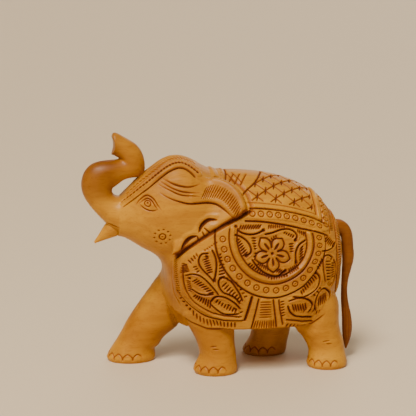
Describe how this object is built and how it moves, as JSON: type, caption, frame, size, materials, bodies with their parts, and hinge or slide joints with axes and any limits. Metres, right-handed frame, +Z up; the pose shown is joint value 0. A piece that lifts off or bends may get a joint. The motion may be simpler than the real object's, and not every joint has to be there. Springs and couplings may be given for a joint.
{
  "type": "carved wooden elephant",
  "caption": "Standing elephant figurine carved in wood, trunk raised and curled, with a saddle cloth in carved relief, an inset pointed lower lip and a glued-on tail.",
  "frame": {"origin": "on the ground, below the middle of the figure's bounding box", "axes": "+Z up; the head points to -X and the tail to +X; the elephant's left flank faces -Y"},
  "size_m": [0.1482, 0.0604, 0.1277],
  "materials": {
    "carved_wood": "satin"
  },
  "bodies": {
    "root": {"carved_block": "carved_wood", "lower_lip": "carved_wood", "tail": "carved_wood"}
  },
  "joints": []
}
